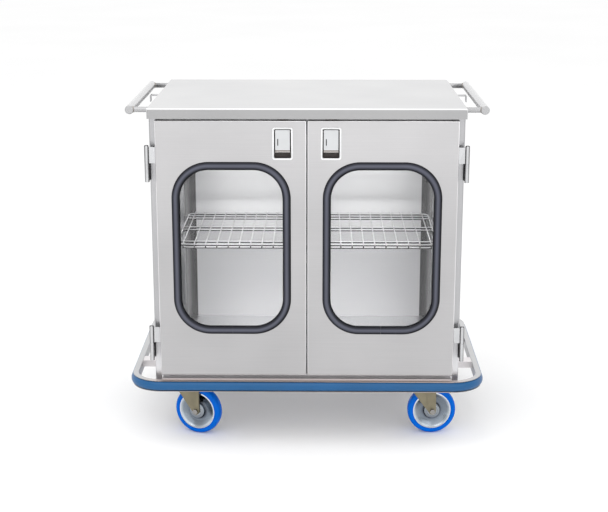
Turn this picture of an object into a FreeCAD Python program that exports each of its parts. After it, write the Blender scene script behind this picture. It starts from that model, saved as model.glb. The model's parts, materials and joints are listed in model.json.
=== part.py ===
import FreeCAD, Part
import math
import os

from FreeCAD import Vector

# Hospital case cart: a stainless cabinet with two windowed doors on four swivel casters.
# Millimetres, +Z up, the origin on the floor under the middle of the cart, the doors toward -Y.

# Sheet and gaps
sheet = 1.5
bend_radius = 4.0
weld = 0.5
running_fit = 0.05
slide_gap = 0.4
rest_gap = 0.3
overcut = 1.0
tiny = 0.01

# Top
top_width = 918.0
top_depth = 660.0
fascia_height = 30.0

# Cabinet
body_inset = 3.0
wall_thickness = 40.0
back_cavity = 14.0
back_inset = 5.0
cove_radius = 35.0
cove_flange = 12.0
header_drop = 40.0
header_flange = 28.0
sill_height = 28.0
cabinet_height = 784.0

# Base and casters
wheel_diameter = 150.0
wheel_width = 32.0
wheel_top_gap = 10.5
caster_trail = 26.0
caster_inset_x = 96.0
caster_inset_y = 125.0
base_height = 31.0
base_wall = 3.0
bolster_width = 120.0
base_rail_width = 40.0
caster_turn_degrees = {
    "front_left": -20.0,
    "front_right": 4.0,
    "rear_left": 75.0,
    "rear_right": 105.0,
}

# Bumper
bumper_side_reach = 77.0
bumper_front_reach = 20.0
bumper_drop = 3.5
bumper_corner = 94.0
channel_height = 33.0
channel_depth = 16.0
channel_wall = 2.0
strip_proud = 6.0
strip_edge = 13.0
stub_width = 44.0
stub_height = 20.0
stub_wall = 2.5
stub_inset = 77.0

# Doors
door_setback = 6.0
door_thickness = 25.0
door_seal_gap = 1.0
door_top_gap = 6.0
door_bottom_gap = 10.0
door_centre_gap = 3.8
frame_reveal = 19.0
skirt_drop = 26.0
skirt_gap = 4.0
door_bend = 3.0

# Windows
window_side_margin = 68.3
window_top_margin = 143.3
window_bottom_margin = 153.2
window_corner = 85.0
gasket_band = 24.0
gasket_proud = 6.5
gasket_round = 6.0
gasket_back = 3.0
gasket_lip = 9.0
glass_bite = 8.0
gasket_web = 4.0
glass_thickness = 5.0
jamb_gap = 2.0

# Latches
latch_edge_inset = 67.8
latch_drop = 66.0
bezel_width = 59.0
bezel_height = 94.0
bezel_proud = 2.5
bezel_corner = 7.0
dish_width = 49.0
dish_height = 84.0
dish_depth = 13.0
dish_corner = 4.0
paddle_gap = 1.0
paddle_length = 66.0
paddle_plate = 2.0
paddle_lip = 7.0
paddle_lip_height = 6.0
paddle_lip_bevel = 4.5
paddle_pivot_drop = 8.0
paddle_pivot_depth = 4.5
paddle_ear = 3.0
key_slot_width = 3.0
key_slot_length = 20.0
key_slot_x = 15.0
key_slot_rise = 4.0
latch_pin_radius = 2.0
tail_width = 7.0
tail_thickness = 3.0
bolt_width = 14.0
bolt_thickness = 4.0
bolt_reach = 3.5
bolt_below = 26.0
bolt_bevel = 2.5
bolt_window_margin = 3.6
tail_slot_drop = 10.8
bolt_play = 0.5
strike_width = 34.0
strike_plate = 2.0
strike_lip = 4.0

# Hinges
hinge_radius = 6.5
hinge_length = 108.0
hinge_low_rise = 102.0
hinge_high_drop = 124.0
hinge_axis_out = 5.0
hinge_axis_ahead = 3.0
hinge_leaf = 3.0
hinge_pin_radius = 4.0
hinge_pin_reach = 40.0
hinge_strap = 34.0
hinge_gap = 0.4

# Handles and door stops
handle_radius = 12.7
handle_end_inset = 50.0
handle_reach = 55.0
handle_z_below_top = 12.0
handle_wall = 1.5
handle_cap_round = 3.0
leg_radius = 8.0
leg_inset = 12.0
stop_width = 28.0
stop_plate = 2.5
stop_rise = 8.0
stop_drop = 13.0
stop_reach = 42.0

# Shelf and its supports
shelf_height = 391.5
shelf_front_gap = 70.0
shelf_back_gap = 122.0
shelf_side_gap = 8.0
shelf_wire = 2.0
shelf_rod = 3.2
shelf_wire_count = 23
shelf_truss = 8.0
shelf_front_pair = 38.0
shelf_middle_pair = 35.0
shelf_back_pitch = 33.0
shelf_corner = 18.0
shelf_nose = 6.0
pilaster_width = 22.0
pilaster_depth = 12.0
pilaster_foot_gap = 92.5
pilaster_head_gap = 20.0
pilaster_front_gap = 118.0
pilaster_back_gap = 167.0
slot_pitch = 30.0
slot_height = 14.0
slot_width = 5.0
rail_leg = 20.0
rail_plate = 2.0
rail_overhang = 28.0

# Caster details
plate_length = 114.0
plate_width = 100.0
plate_thickness = 4.0
plate_corner = 8.0
race_radius = 36.0
race_height = 9.0
race_taper = 3.0
kingpin_radius = 7.0
kingpin_head_radius = 13.0
kingpin_head_height = 4.0
crown_thickness = 5.0
crown_radius = 42.0
crown_gap = 0.5
cup_height = 6.0
cup_taper = 4.0
fork_plate = 4.0
fork_bend = 3.5
fork_press = 1.5
fork_side_gap = 3.5
fork_back = 54.0
fork_foot_radius = 11.0
axle_radius = 6.0
axle_head_flats = 15.0
axle_head_height = 6.0
tyre_section = 16.0
tyre_shoulder = 9.0
core_lip = 5.0
core_lip_slope = 20.0
core_rim_inset = 1.0
core_web = 10.0
core_boss_radius = 25.0
core_boss_slope = 3.0
bolt_hole_radius = 4.5
plate_bolt_x = 43.0
plate_bolt_y = 37.0
plate_bolt_radius = 4.0
plate_bolt_head = 6.5
plate_bolt_head_height = 5.0

# Heights that follow
crown_bottom = wheel_diameter + wheel_top_gap
caster_height = crown_bottom + crown_thickness + cup_height + crown_gap + race_height + plate_thickness
base_top = caster_height + base_height
floor_top = base_top + sheet
overall_height = base_top + cabinet_height + fascia_height
top_under = overall_height - sheet
skin_top = top_under - bend_radius
fascia_bottom = overall_height - fascia_height
door_bottom = base_top + door_bottom_gap
door_top = fascia_bottom - door_top_gap
ceiling_z = fascia_bottom - header_drop
skirt_bottom = base_top - skirt_drop
stub_bottom = (caster_height + base_top - stub_height) / 2
bumper_top = base_top - bumper_drop
bumper_bottom = bumper_top - channel_height
window_low = door_bottom + window_bottom_margin
window_height = door_top - window_top_margin - window_low
window_z = window_low + window_height / 2
latch_z = door_top - latch_drop
hinge_split_z = (door_bottom + hinge_low_rise, door_top - hinge_high_drop)
shelf_z = floor_top + shelf_height
pilaster_bottom = floor_top + pilaster_foot_gap
pilaster_top = ceiling_z - pilaster_head_gap

# Places front to back and side to side that follow
body_side = top_width / 2 - body_inset
liner_x = body_side - wall_thickness
door_face_y = -top_depth / 2 + door_setback
door_back_y = door_face_y + door_thickness
frame_y = door_back_y + door_seal_gap
back_y = top_depth / 2 - back_inset
back_wall_y = back_y - sheet - back_cavity - sheet
cove_end_y = back_wall_y - cove_radius - cove_flange
door_inner_x = door_centre_gap / 2
door_outer_x = body_side - frame_reveal
window_width = door_outer_x - door_inner_x - 2 * window_side_margin
window_x = (door_outer_x + door_inner_x) / 2
latch_x = door_inner_x + latch_edge_inset
hinge_axis_x = body_side + hinge_axis_out
hinge_y = door_face_y - hinge_axis_ahead
stop_y = hinge_y + hinge_axis_x - door_inner_x - stop_width / 2
handle_x = top_width / 2 + handle_reach
handle_length = top_depth - 2 * handle_end_inset
channel_side = top_width / 2 + bumper_side_reach - strip_proud
channel_front = top_depth / 2 + bumper_front_reach - strip_proud
channel_inner_x = channel_side - channel_depth
base_front = channel_front - channel_depth
caster_x = body_side - caster_inset_x
caster_y = top_depth / 2 - caster_inset_y
base_rail_x = door_outer_x - skirt_gap
stub_y = caster_y - stub_inset
pilaster_face_x = liner_x - pilaster_depth
pilaster_y = (frame_y + pilaster_front_gap, back_wall_y - pilaster_back_gap)
shelf_half_width = pilaster_face_x - shelf_side_gap
shelf_front_y = frame_y + shelf_front_gap
shelf_back_y = back_wall_y - shelf_back_gap

sides = {"left": -1, "right": 1}


def block(x0, x1, y0, y1, z0, z1):
    corner = Vector(min(x0, x1), min(y0, y1), min(z0, z1))
    return Part.makeBox(abs(x1 - x0), abs(y1 - y0), abs(z1 - z0), corner)


def rod(start, end, radius):
    direction = end.sub(start)
    return Part.makeCylinder(radius, direction.Length, start, direction)


def fuse(shapes):
    return shapes[0].multiFuse(shapes[1:]).removeSplitter()


def mirror_x(shape):
    return shape.mirror(Vector(0, 0, 0), Vector(1, 0, 0))


def on_side(shape, side):
    return shape if side < 0 else mirror_x(shape)


def save(name, shapes):
    solids = [solid for shape in shapes for solid in shape.Solids]
    whole = solids[0] if len(solids) == 1 else Part.makeCompound(solids)
    whole.exportStep("parts/" + name + ".step")
    print(name, len(solids), round(whole.Volume / 1000.0, 1), all(s.isValid() for s in solids))


def rounded_outline(width, height, corner):
    """Closed outline of a rounded rectangle about the origin, in X and Y."""
    w = width / 2
    h = height / 2
    r = corner
    k = r * (1 - math.sqrt(0.5))
    edges = [
        Part.LineSegment(Vector(-w + r, -h, 0), Vector(w - r, -h, 0)),
        Part.Arc(Vector(w - r, -h, 0), Vector(w - k, -h + k, 0), Vector(w, -h + r, 0)),
        Part.LineSegment(Vector(w, -h + r, 0), Vector(w, h - r, 0)),
        Part.Arc(Vector(w, h - r, 0), Vector(w - k, h - k, 0), Vector(w - r, h, 0)),
        Part.LineSegment(Vector(w - r, h, 0), Vector(-w + r, h, 0)),
        Part.Arc(Vector(-w + r, h, 0), Vector(-w + k, h - k, 0), Vector(-w, h - r, 0)),
        Part.LineSegment(Vector(-w, h - r, 0), Vector(-w, -h + r, 0)),
        Part.Arc(Vector(-w, -h + r, 0), Vector(-w + k, -h + k, 0), Vector(-w + r, -h, 0)),
    ]
    return Part.Wire([edge.toShape() for edge in edges])


def flat_slab(width, depth, corner, z0, z1):
    """Rounded slab lying flat, about the Z axis."""
    slab = Part.Face(rounded_outline(width, depth, corner)).extrude(Vector(0, 0, z1 - z0))
    slab.translate(Vector(0, 0, z0))
    return slab


def upright_slab(width, height, corner, x, z, y0, y1):
    """Rounded slab standing in the door's plane, about (x, z)."""
    slab = Part.Face(rounded_outline(width, height, corner)).extrude(Vector(0, 0, y1 - y0))
    slab.rotate(Vector(0, 0, 0), Vector(1, 0, 0), 90)
    slab.translate(Vector(x, y1, z))
    return slab


def edges_at(shape, test):
    return [edge for edge in shape.Edges if test(edge.BoundBox)]


def upright(box):
    return box.ZLength > tiny and box.XLength < tiny and box.YLength < tiny


# Cabinet

def pan(width, depth, radius, z0, z1):
    """Block with rounded upright corners and rounded top edges."""
    shape = block(-width / 2, width / 2, -depth / 2, depth / 2, z0, z1)
    shape = shape.makeFillet(radius, edges_at(shape, upright))
    return shape.makeFillet(radius, edges_at(shape, lambda b: b.ZMin > z1 - tiny))


def top_panel():
    outer = pan(top_width, top_depth, bend_radius, fascia_bottom, overall_height)
    inner_width = top_width - 2 * sheet
    inner_depth = top_depth - 2 * sheet
    inner = pan(inner_width, inner_depth, bend_radius - sheet, fascia_bottom - overcut, top_under)
    return outer.cut(inner)


def side_panel():
    """Outer skin of the left side, turned in at the front for the frame strip, its skirt over the base."""
    x = -body_side
    skin = block(x, x + wall_thickness, frame_y, back_y - sheet, skirt_bottom, skin_top)
    front_corner = edges_at(skin, lambda b: upright(b) and b.XMax < x + sheet and b.YMax < frame_y + sheet)
    skin = skin.makeFillet(bend_radius, front_corner)
    inside = block(x + sheet, x + wall_thickness + overcut, frame_y + sheet, back_y,
                   skirt_bottom - overcut, top_under)
    inner_corner = edges_at(inside, lambda b: upright(b) and b.XMax < -liner_x and b.YMax < 0)
    skin = skin.cut(inside.makeFillet(bend_radius - sheet, inner_corner))
    below_strip = block(x + frame_reveal, -liner_x + overcut, frame_y - overcut, frame_y + sheet + overcut,
                        skirt_bottom - overcut, base_top)
    notch = stub_width / 2 + slide_gap
    notch_top = stub_bottom + stub_height + slide_gap
    notches = [block(x - overcut, x + sheet + overcut, y - notch, y + notch,
                     skirt_bottom - overcut, notch_top) for y in (-stub_y, stub_y)]
    return skin.cut(below_strip).cut(Part.makeCompound(notches))


def side_liner():
    x = -liner_x
    return block(x - sheet, x, frame_y + sheet, cove_end_y, floor_top, top_under)


def coved_plan(half_width, depth_y, radius, z0, z1):
    """Plan from the cove's front flanges to the back wall, with rounded back corners."""
    shape = block(-half_width, half_width, cove_end_y, depth_y, z0, z1)
    back_corners = edges_at(shape, lambda b: upright(b) and b.YMin > depth_y - tiny)
    return shape.makeFillet(radius, back_corners)


def back_liner():
    outer = coved_plan(liner_x + sheet, back_wall_y + sheet, cove_radius + sheet, floor_top, top_under)
    low = floor_top - overcut
    high = top_under + overcut
    inner = coved_plan(liner_x, back_wall_y, cove_radius, low, high)
    front = block(-liner_x, liner_x, cove_end_y - overcut, cove_end_y + overcut, low, high)
    return outer.cut(inner).cut(front)


def back_panel():
    return block(-body_side, body_side, back_y - sheet, back_y, base_top, skin_top)


def floor_panel():
    """Floor sheet between the side skins, its front corners rounded to their bends."""
    x = body_side - sheet
    panel = block(-x, x, frame_y + sheet, back_y - sheet, base_top, floor_top)
    front_corners = edges_at(panel, lambda b: upright(b) and b.YMax < 0)
    return panel.makeFillet(bend_radius - sheet, front_corners)


def front_channel(z0, z1):
    """Channel across the front of the cabinet, open to the back."""
    depth = frame_y + header_flange
    web = block(-liner_x, liner_x, frame_y, depth, z0, z1)
    hollow = block(-liner_x - overcut, liner_x + overcut, frame_y + sheet, depth + overcut,
                   z0 + sheet, z1 - sheet)
    return web.cut(hollow)


def ceiling_panel():
    z = ceiling_z + sheet
    sheet_shape = coved_plan(liner_x, back_wall_y, cove_radius, z, z + sheet)
    front = block(-liner_x, liner_x, frame_y + sheet, cove_end_y, z, z + sheet)
    return fuse([sheet_shape, front])


def pilaster(y):
    """Slotted upright on the left liner."""
    x = -liner_x
    half = pilaster_width / 2
    shape = block(x, x + pilaster_depth, y - half, y + half, pilaster_bottom, pilaster_top)
    long_edges = edges_at(shape, lambda b: upright(b) and b.XMin > x + sheet)
    shape = shape.makeFillet(2 * sheet, long_edges)
    hollow = block(x - overcut, x + pilaster_depth - sheet, y - half + sheet, y + half - sheet,
                   pilaster_bottom - overcut, pilaster_top + overcut)
    shape = shape.cut(hollow)
    count = int((pilaster_top - pilaster_bottom) / slot_pitch)
    slots = []
    for index in range(count):
        z = pilaster_bottom + (index + 0.5) * slot_pitch
        slots.append(block(x, x + pilaster_depth + overcut, y - slot_width / 2, y + slot_width / 2,
                           z - slot_height / 2, z + slot_height / 2))
    return shape.cut(Part.makeCompound(slots))


def shelf_rail():
    """Angle on the left pilasters that carries the shelf."""
    x = -pilaster_face_x
    z = shelf_z - shelf_wire - 2 * shelf_rod + weld - rest_gap
    y0 = pilaster_y[0] - rail_overhang
    y1 = pilaster_y[1] + rail_overhang
    wall = block(x, x + rail_plate, y0, y1, z - rail_leg, z)
    ledge = block(x, x + rail_leg, y0, y1, z - rail_plate, z)
    return fuse([wall, ledge])


def shelf_wire_path(x):
    """One shelf wire, turned down over the front rods."""
    y = shelf_front_y
    z = shelf_z
    r = shelf_nose
    k = r * math.sqrt(0.5)
    low = Vector(x, y - r, z - shelf_truss - r)
    bend_low = Vector(x, y - r, z - r)
    bend_mid = Vector(x, y - k, z - r + k)
    bend_high = Vector(x, y, z)
    back = Vector(x, shelf_back_y + r, z)
    edges = [
        Part.LineSegment(low, bend_low).toShape(),
        Part.Arc(bend_low, bend_mid, bend_high).toShape(),
        Part.LineSegment(bend_high, back).toShape(),
    ]
    circle = Part.Wire(Part.makeCircle(shelf_wire, low, Vector(0, 0, 1)))
    return Part.Wire(edges).makePipeShell([circle], True, False)


def cross_rod(y, z, radius, half_width):
    return rod(Vector(-half_width, y, z), Vector(half_width, y, z), radius)


def shelf_loop(z):
    """Outer rod of the shelf, one closed loop with rounded corners."""
    width = 2 * (shelf_half_width - shelf_rod)
    depth = shelf_back_y - shelf_front_y
    path = rounded_outline(width, depth, shelf_corner)
    path.translate(Vector(0, (shelf_back_y + shelf_front_y) / 2, z))
    start = Vector(0, shelf_front_y, z)
    circle = Part.Wire(Part.makeCircle(shelf_rod, start, Vector(1, 0, 0)))
    return path.makePipeShell([circle], True, False)


def wire_shelf():
    rod_z = shelf_z - shelf_wire - shelf_rod + weld
    low_z = rod_z - shelf_truss
    inner = shelf_half_width - 2 * shelf_rod - shelf_corner
    pitch = 2 * inner / (shelf_wire_count - 1)
    middle = (shelf_front_y + shelf_back_y) / 2
    pieces = [shelf_loop(rod_z)]
    rods_y = [
        shelf_front_y + shelf_front_pair,
        middle - shelf_middle_pair / 2,
        middle + shelf_middle_pair / 2,
        shelf_back_y - 2 * shelf_back_pitch,
        shelf_back_y - shelf_back_pitch,
    ]
    for y in rods_y:
        pieces.append(cross_rod(y, rod_z, shelf_rod, shelf_half_width - shelf_rod))
    front_y = shelf_front_y - shelf_nose + shelf_wire + shelf_rod - weld
    pieces.append(cross_rod(front_y, low_z, shelf_rod, inner + shelf_wire))
    for index in range(shelf_wire_count):
        pieces.append(shelf_wire_path(-inner + index * pitch))
    return fuse(pieces)


# Base and bumper

def hollow_bar_x(x0, x1, y0, y1, z0, z1, wall):
    bar = block(x0, x1, y0, y1, z0, z1)
    return bar.cut(block(x0 - overcut, x1 + overcut, y0 + wall, y1 - wall, z0 + wall, z1 - wall))


def hollow_bar_y(x0, x1, y0, y1, z0, z1, wall):
    bar = block(x0, x1, y0, y1, z0, z1)
    return bar.cut(block(x0 + wall, x1 - wall, y0 - overcut, y1 + overcut, z0 + wall, z1 - wall))


def base_frame():
    """Front and rear rails with two wide bolsters between them for the casters."""
    rail_back = base_front - base_rail_width
    bars = []
    for end in (-1, 1):
        near, far = sorted((end * base_front, end * rail_back))
        bars.append(hollow_bar_x(-base_rail_x, base_rail_x, near, far, caster_height, base_top, base_wall))
    for side in (-1, 1):
        x0 = side * caster_x - bolster_width / 2
        bars.append(hollow_bar_y(x0, x0 + bolster_width, -rail_back, rail_back,
                                 caster_height, base_top, base_wall))
    return bars


def bumper_ring(inset, z0, z1):
    width = 2 * (channel_side - inset)
    depth = 2 * (channel_front - inset)
    return flat_slab(width, depth, bumper_corner - inset, z0, z1)


def halves(ring):
    reach = channel_side + channel_front
    front = block(-reach, reach, -reach, 0, 0, reach)
    return [ring.common(front), ring.cut(front)]


def butted_lengths(ring):
    """Straight lengths and bent corners, butted where each bend begins."""
    reach = channel_side + channel_front
    bend_x = channel_side - bumper_corner
    bend_y = channel_front - bumper_corner
    lengths = []
    for x0, x1 in ((-reach, -bend_x), (-bend_x, bend_x), (bend_x, reach)):
        for y0, y1 in ((-reach, -bend_y), (-bend_y, bend_y), (bend_y, reach)):
            length = ring.common(block(x0, x1, y0, y1, 0, reach))
            if length.Solids:
                lengths.append(length)
    return lengths


def bumper_channel():
    ring = bumper_ring(0, bumper_bottom, bumper_top)
    ring = ring.cut(bumper_ring(channel_depth, bumper_bottom - overcut, bumper_top + overcut))
    groove = bumper_ring(-overcut, bumper_bottom + channel_wall, bumper_top - channel_wall)
    core = bumper_ring(channel_depth - channel_wall, bumper_bottom, bumper_top)
    return butted_lengths(ring.cut(groove.cut(core)))


def bumper_strip():
    """Blue strip seated in the channel, its outer edges rounded."""
    z0 = bumper_bottom + channel_wall
    z1 = bumper_top - channel_wall
    outer = bumper_ring(-strip_proud, z0, z1)
    outer = outer.makeFillet(strip_edge, edges_at(outer, lambda b: b.ZLength < tiny))
    return halves(outer.cut(bumper_ring(channel_depth - channel_wall, z0 - overcut, z1 + overcut)))


def bumper_brackets():
    inner_x = caster_x + bolster_width / 2
    stubs = []
    for y in (-stub_y, stub_y):
        stub = hollow_bar_x(-channel_inner_x, -inner_x, y - stub_width / 2, y + stub_width / 2,
                            stub_bottom, stub_bottom + stub_height, stub_wall)
        stubs += [stub, mirror_x(stub)]
    return stubs


# Handles and door stops

def push_handle():
    """Capped tube along the left edge of the top, on two short legs."""
    half = handle_length / 2
    z = overall_height - handle_z_below_top
    bar = rod(Vector(-handle_x, -half, z), Vector(-handle_x, half, z), handle_radius)
    bar = bar.makeFillet(handle_cap_round, edges_at(bar, lambda b: b.YLength < tiny))
    hollow = rod(Vector(-handle_x, -half + handle_wall, z), Vector(-handle_x, half - handle_wall, z),
                 handle_radius - handle_wall)
    legs = []
    bores = []
    for y in (-half + leg_inset, half - leg_inset):
        start = Vector(-handle_x, y, z)
        legs.append(rod(start, Vector(-top_width / 2, y, z), leg_radius))
        bores.append(rod(start, Vector(-top_width / 2 + overcut, y, z), leg_radius - handle_wall))
    return fuse([bar] + legs).cut(hollow.multiFuse(bores))


def door_stop():
    """Bracket on the fascia's left side; the open door comes to rest on its pad."""
    x = -top_width / 2
    y0 = stop_y - stop_width / 2
    y1 = stop_y + stop_width / 2
    z0 = fascia_bottom - stop_drop
    z1 = fascia_bottom + stop_rise
    reach = x - stop_reach
    foot = block(x - stop_plate, x, y0, y1, fascia_bottom, z1)
    arm = block(reach, x, y0, y1, z1 - stop_plate, z1)
    plate = block(reach, reach + stop_plate, y0, y1, z0, z1)
    shape = fuse([foot, arm, plate])
    outer_edge = edges_at(shape, lambda b: b.YLength > tiny and b.XMax < reach + tiny and b.ZMin > z1 - tiny)
    return shape.makeFillet(stop_plate, outer_edge)


# Hinges

def frame_hinge(split_z):
    """Lower hinge half with its pin, strapped to the left side panel."""
    low = split_z - hinge_length / 2
    axis = Vector(-hinge_axis_x, hinge_y, low)
    barrel = Part.makeCylinder(hinge_radius, hinge_length / 2 - hinge_gap / 2, axis)
    strap = block(-body_side - hinge_leaf, -body_side, hinge_y, frame_y + hinge_strap,
                  low, split_z - hinge_gap / 2)
    pin = Part.makeCylinder(hinge_pin_radius, hinge_length / 2 + hinge_pin_reach, axis)
    return fuse([barrel, strap, pin])


def door_hinge(split_z):
    """Upper hinge half, lifted off its pin with the left door."""
    low = split_z + hinge_gap / 2
    top = split_z + hinge_length / 2
    axis = Vector(-hinge_axis_x, hinge_y, low)
    barrel = Part.makeCylinder(hinge_radius, top - low, axis)
    cap_edge = edges_at(barrel, lambda b: b.ZMin > top - tiny)
    barrel = barrel.makeFillet(hinge_radius / 2, cap_edge)
    leaf_y = hinge_y + hinge_radius
    leaf = block(-hinge_axis_x, -door_outer_x, leaf_y - hinge_leaf, leaf_y, low, top - hinge_radius)
    bore = Part.makeCylinder(hinge_pin_radius + running_fit, hinge_pin_reach + overcut, axis)
    return fuse([barrel, leaf]).cut(bore)


# Doors, modelled for the left side

def door_block(inset, y0, y1, round_front):
    shape = block(-door_outer_x + inset, -door_inner_x - inset, y0, y1,
                  door_bottom + inset, door_top - inset)
    front = edges_at(shape, lambda b: b.YMax < y0 + tiny)
    return shape.makeFillet(round_front, front)


def window_slab(grow, y0, y1):
    """Window outline grown all round by a set amount."""
    return upright_slab(window_width + 2 * grow, window_height + 2 * grow, window_corner + grow,
                        -window_x, window_z, y0, y1)


def window_hole():
    return window_slab(glass_bite + gasket_web, door_face_y - overcut, door_back_y + overcut)


def bolt_y():
    """Middle plane of the latch bolt, close behind the dish."""
    return door_face_y + dish_depth + sheet + slide_gap + bolt_thickness / 2


def bolt_slot(play, z0, z1):
    y = bolt_y()
    half_x = bolt_width / 2 + play
    half_y = bolt_thickness / 2 + play
    return block(-latch_x - half_x, -latch_x + half_x, y - half_y, y + half_y, z0, z1)


def door_shell():
    outer = door_block(0, door_face_y, door_back_y, door_bend)
    inner = door_block(sheet, door_face_y + sheet, door_back_y + overcut, door_bend - sheet)
    dish = upright_slab(dish_width + 2 * sheet, dish_height + 2 * sheet, dish_corner + sheet,
                        -latch_x, latch_z, door_face_y - overcut, door_face_y + 2 * sheet)
    slot = bolt_slot(bolt_play, door_top - 2 * sheet, door_top + overcut)
    return outer.cut(inner).cut(window_hole()).cut(dish).cut(slot)


def door_liner():
    """Back sheet of the door with the jamb that closes its wall round the window."""
    grow = gasket_band + jamb_gap
    back = block(-door_outer_x + sheet, -door_inner_x - sheet, door_back_y - sheet, door_back_y,
                 door_bottom + sheet, door_top - sheet)
    jamb = window_slab(grow + sheet, door_face_y + sheet, door_back_y)
    return fuse([back, jamb]).cut(window_slab(grow, door_face_y, door_back_y + overcut))


def window_glass():
    return window_slab(glass_bite, door_face_y, door_face_y + glass_thickness)


def window_gasket():
    """Rubber ring that grips the door sheet outside and the glass inside."""
    back = door_face_y + glass_thickness + gasket_back
    bead = window_slab(gasket_band, door_face_y - gasket_proud, door_face_y)
    bead = bead.cut(window_slab(0, door_face_y - gasket_proud - overcut, door_face_y + overcut))
    front = edges_at(bead, lambda b: b.YMax < door_face_y - gasket_proud + tiny)
    bead = bead.makeFillet(gasket_round, front)
    web = window_slab(glass_bite + gasket_web, door_face_y, back)
    lip = window_slab(glass_bite + gasket_web + gasket_lip, door_face_y + sheet, back)
    ring = fuse([web, lip])
    ring = ring.cut(window_slab(0, door_face_y - overcut, back + overcut))
    return fuse([bead, ring.cut(window_glass())])


def latch_dish():
    """Bezel and finger dish in one pressing, with a slot for the paddle's tail."""
    face = door_face_y - bezel_proud
    floor_y = door_face_y + dish_depth
    bezel = upright_slab(bezel_width, bezel_height, bezel_corner, -latch_x, latch_z, face, door_face_y)
    bezel = bezel.makeFillet(bezel_proud / 2, edges_at(bezel, lambda b: b.YMax < face + tiny))
    cup = upright_slab(dish_width + 2 * sheet, dish_height + 2 * sheet, dish_corner + sheet,
                       -latch_x, latch_z, door_face_y, floor_y + sheet)
    opening = upright_slab(dish_width, dish_height, dish_corner, -latch_x, latch_z, face - overcut, floor_y)
    return fuse([bezel, cup]).cut(opening).cut(tail_slot()).cut(latch_pin())


def pivot():
    """Axis of the paddle, just under the dish's upper edge."""
    return Vector(-latch_x, door_face_y + paddle_pivot_depth, latch_z + dish_height / 2 - paddle_pivot_drop)


def tail_slot():
    axis = pivot()
    half = tail_width / 2 + paddle_gap
    floor_y = door_face_y + dish_depth
    return block(axis.x - half, axis.x + half, floor_y - overcut, floor_y + sheet + overcut,
                 axis.z - tail_slot_drop, axis.z + bolt_window_margin)


def latch_pin():
    axis = pivot()
    half = Vector(dish_width / 2 + sheet, 0, 0)
    return rod(axis.sub(half), axis.add(half), latch_pin_radius)


def latch_paddle():
    """Pull paddle: face plate with a lip, two ears on the pin and a tail to the bolt."""
    axis = pivot()
    half = dish_width / 2 - paddle_gap
    top = latch_z + dish_height / 2 - 2 * paddle_gap
    low = top - paddle_length
    plate = block(axis.x - half, axis.x + half, door_face_y, door_face_y + paddle_plate, low, top)
    top_corners = edges_at(plate, lambda b: b.YLength > tiny and b.ZMin > top - tiny and b.XLength < tiny)
    plate = plate.makeFillet(dish_corner - paddle_gap, top_corners)
    lip = block(axis.x - half, axis.x + half, door_face_y, door_face_y + paddle_lip,
                low, low + paddle_lip_height)
    shape = fuse([plate, lip])
    low_edge = edges_at(shape, lambda b: b.YMax < door_face_y + tiny and b.ZMax < low + tiny)
    shape = shape.makeChamfer(paddle_lip_bevel, low_edge)
    shape = shape.makeFillet(paddle_plate / 2, edges_at(shape, lambda b: b.YMax < door_face_y + tiny))
    pieces = [shape]
    ear_back = axis.y + latch_pin_radius + paddle_ear
    for side in (-1, 1):
        x = axis.x + side * half
        pieces.append(block(x, x - side * paddle_ear, door_face_y + paddle_plate / 2, ear_back,
                            axis.z - latch_pin_radius - paddle_ear, top - paddle_plate))
    tail_end = bolt_y() + bolt_thickness / 2 + paddle_gap
    pieces.append(block(axis.x - tail_width / 2, axis.x + tail_width / 2, door_face_y + paddle_plate / 2,
                        tail_end, axis.z - tail_thickness / 2, axis.z + tail_thickness / 2))
    reach = Vector(half, 0, 0)
    pieces.append(rod(axis.sub(reach), axis.add(reach), latch_pin_radius + paddle_ear / 2))
    past = Vector(half + overcut, 0, 0)
    bore = rod(axis.sub(past), axis.add(past), latch_pin_radius + running_fit)
    slot = upright_slab(key_slot_width, key_slot_length, key_slot_width / 2 - tiny, axis.x - key_slot_x,
                        latch_z + key_slot_rise, door_face_y - overcut, door_face_y + paddle_plate + overcut)
    return fuse(pieces).cut(bore).cut(slot)


def latch_bolt():
    """Flat bolt that the paddle's tail draws down out of the strike."""
    axis = pivot()
    y = bolt_y()
    top = door_top + bolt_reach
    low = axis.z - bolt_below
    bar = bolt_slot(0, low, top)
    window = block(axis.x - tail_width / 2 - paddle_gap, axis.x + tail_width / 2 + paddle_gap,
                   y - bolt_thickness, y + bolt_thickness,
                   axis.z - bolt_window_margin, axis.z + bolt_window_margin)
    back_edge = edges_at(bar, lambda b: b.XLength > tiny and b.ZMin > top - tiny and b.YMin > y)
    return bar.makeChamfer(bolt_bevel, back_edge).cut(window)


def latch_strike():
    """Keeper on the header over the left bolt, its lip in front of the bolt's tip."""
    x0 = -latch_x - strike_width / 2
    x1 = -latch_x + strike_width / 2
    lip_z = door_top + bolt_reach + rest_gap
    plate_z = lip_z + strike_lip
    front_y = bolt_y() - bolt_thickness - 2 * strike_plate
    foot = block(x0, x1, frame_y - strike_plate, frame_y,
                 door_top + 2 * rest_gap, plate_z + strike_width / 2)
    plate = block(x0, x1, front_y, frame_y, plate_z, plate_z + strike_plate)
    lip = block(x0, x1, front_y, front_y + strike_plate, lip_z, plate_z + strike_plate)
    return fuse([foot, plate, lip])


# Casters, modelled at the origin with the wheel trailing toward +X

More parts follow.
